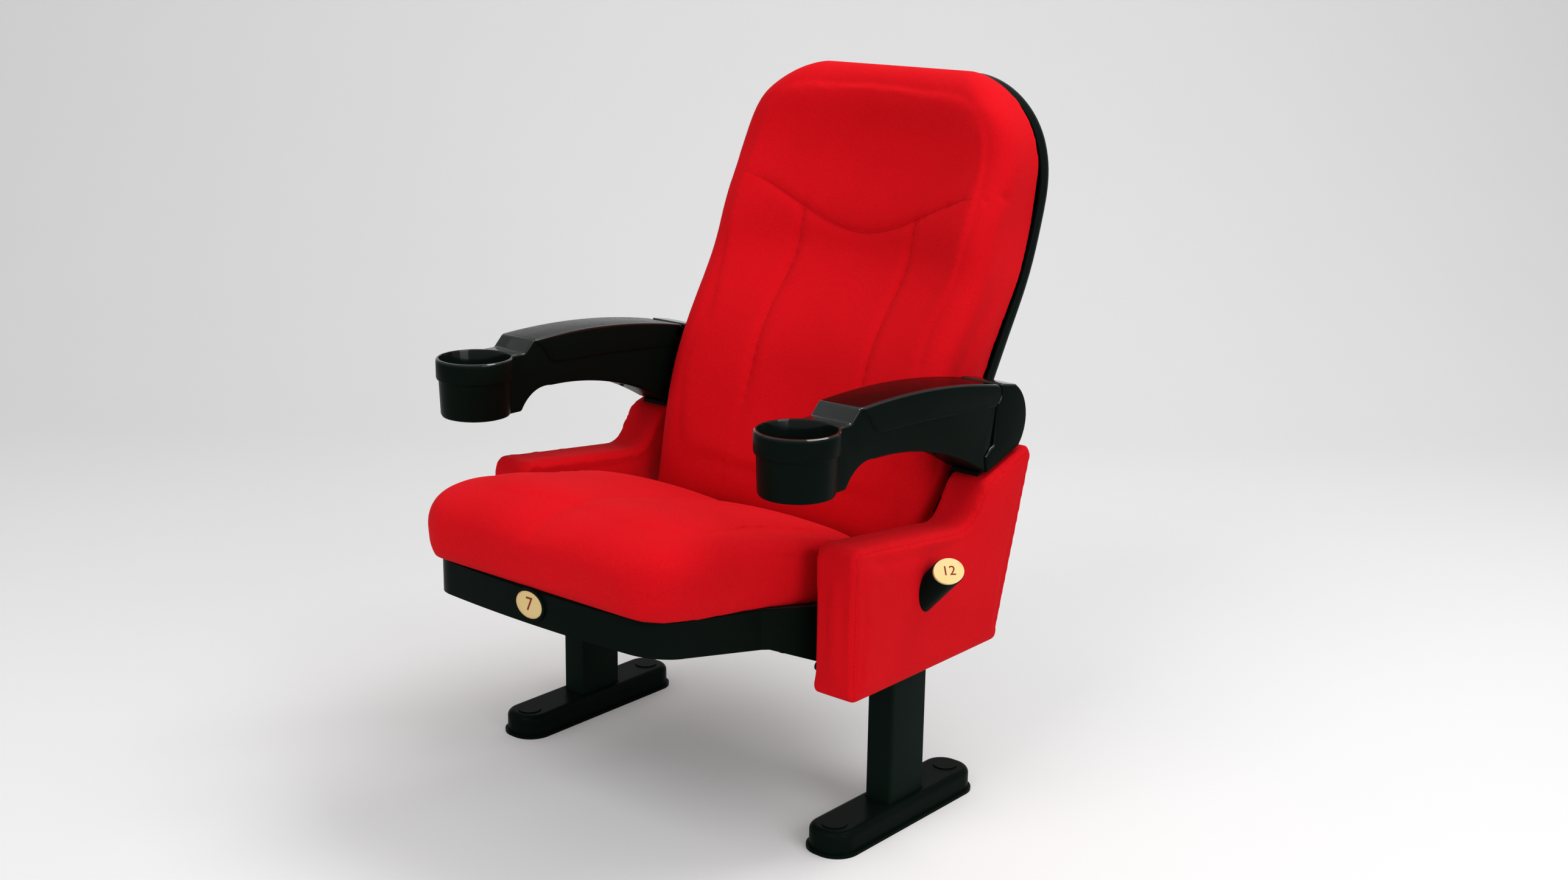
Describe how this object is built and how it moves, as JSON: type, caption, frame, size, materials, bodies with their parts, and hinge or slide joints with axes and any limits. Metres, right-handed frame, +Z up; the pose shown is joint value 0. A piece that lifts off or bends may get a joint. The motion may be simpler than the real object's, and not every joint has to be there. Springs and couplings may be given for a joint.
{
  "type": "auditorium chair",
  "caption": "Floor-bolted auditorium chair with a tip-up upholstered seat, a raked channelled back, upholstered side panels and lifting armrests that end in cup holders.",
  "frame": {"origin": "on the floor, at the centre of the rectangle of the floor anchor holes", "axes": "+Z up, the chair faces -Y, +X to the side with the row marker post"},
  "size_m": [0.7296, 0.8173, 0.9757],
  "materials": {
    "red_fabric": "red woven upholstery fabric over foam",
    "black_moulding": "black satin moulded plastic",
    "black_steel": "black powder-coated steel",
    "plated_steel": "zinc-plated steel",
    "bearing_plastic": "off-white bearing plastic",
    "plywood": "moulded plywood",
    "gold_plate": "pale gold anodised plate"
  },
  "bodies": {
    "root": {"foot_plate_left": "black_steel", "leg_column_left": "black_steel", "side_frame_left": "black_steel", "arm_base_plate_left": "black_steel", "arm_bracket_left": "black_steel", "seat_bearing_left": "black_steel", "back_bracket_left": "black_steel", "foot_cover_left": "black_moulding", "arm_hub_cover_left": "black_moulding", "side_upholstery_left": "red_fabric", "arm_pivot_pin_left": "plated_steel", "seat_stop_left": "plated_steel", "seat_pivot_bush_left": "bearing_plastic", "foot_plate_right": "black_steel", "leg_column_right": "black_steel", "side_frame_right": "black_steel", "arm_base_plate_right": "black_steel", "arm_bracket_right": "black_steel", "seat_bearing_right": "black_steel", "back_bracket_right": "black_steel", "foot_cover_right": "black_moulding", "arm_hub_cover_right": "black_moulding", "side_upholstery_right": "red_fabric", "arm_pivot_pin_right": "plated_steel", "seat_stop_right": "plated_steel", "seat_pivot_bush_right": "bearing_plastic", "foot_bolt_caps": "black_moulding", "back_shell": "black_moulding", "row_marker_post": "black_moulding", "back_board": "plywood", "back_cushion": "red_fabric", "row_marker_plate": "gold_plate"},
    "seat": {"seat_pan": "black_moulding", "seat_board": "plywood", "seat_frame": "black_steel", "seat_pivot_pin_left": "plated_steel", "seat_pivot_pin_right": "plated_steel", "seat_friction_washers": "bearing_plastic", "seat_plate_bezel": "black_moulding", "seat_number_plate": "gold_plate", "seat_cushion": "red_fabric"},
    "armrest_left": {"arm_shell_left": "black_moulding", "arm_lower_cover_left": "black_moulding", "arm_bushes_left": "bearing_plastic", "arm_pin_cap_left": "black_moulding"},
    "armrest_right": {"arm_shell_right": "black_moulding", "arm_lower_cover_right": "black_moulding", "arm_bushes_right": "bearing_plastic", "arm_pin_cap_right": "black_moulding"}
  },
  "joints": [
    {"name": "seat_tip", "type": "hinge", "parent": "root", "child": "seat", "pos_m": [0, 0.025, 0.298], "axis": [-1, 0, 0], "range_deg": [0, 58]},
    {"name": "armrest_left_lift", "type": "hinge", "parent": "root", "child": "armrest_left", "pos_m": [-0.29, 0.16341, 0.56826], "axis": [-1, 0, 0], "range_deg": [0, 80]},
    {"name": "armrest_right_lift", "type": "hinge", "parent": "root", "child": "armrest_right", "pos_m": [0.29, 0.16341, 0.56826], "axis": [-1, 0, 0], "range_deg": [0, 80]}
  ]
}
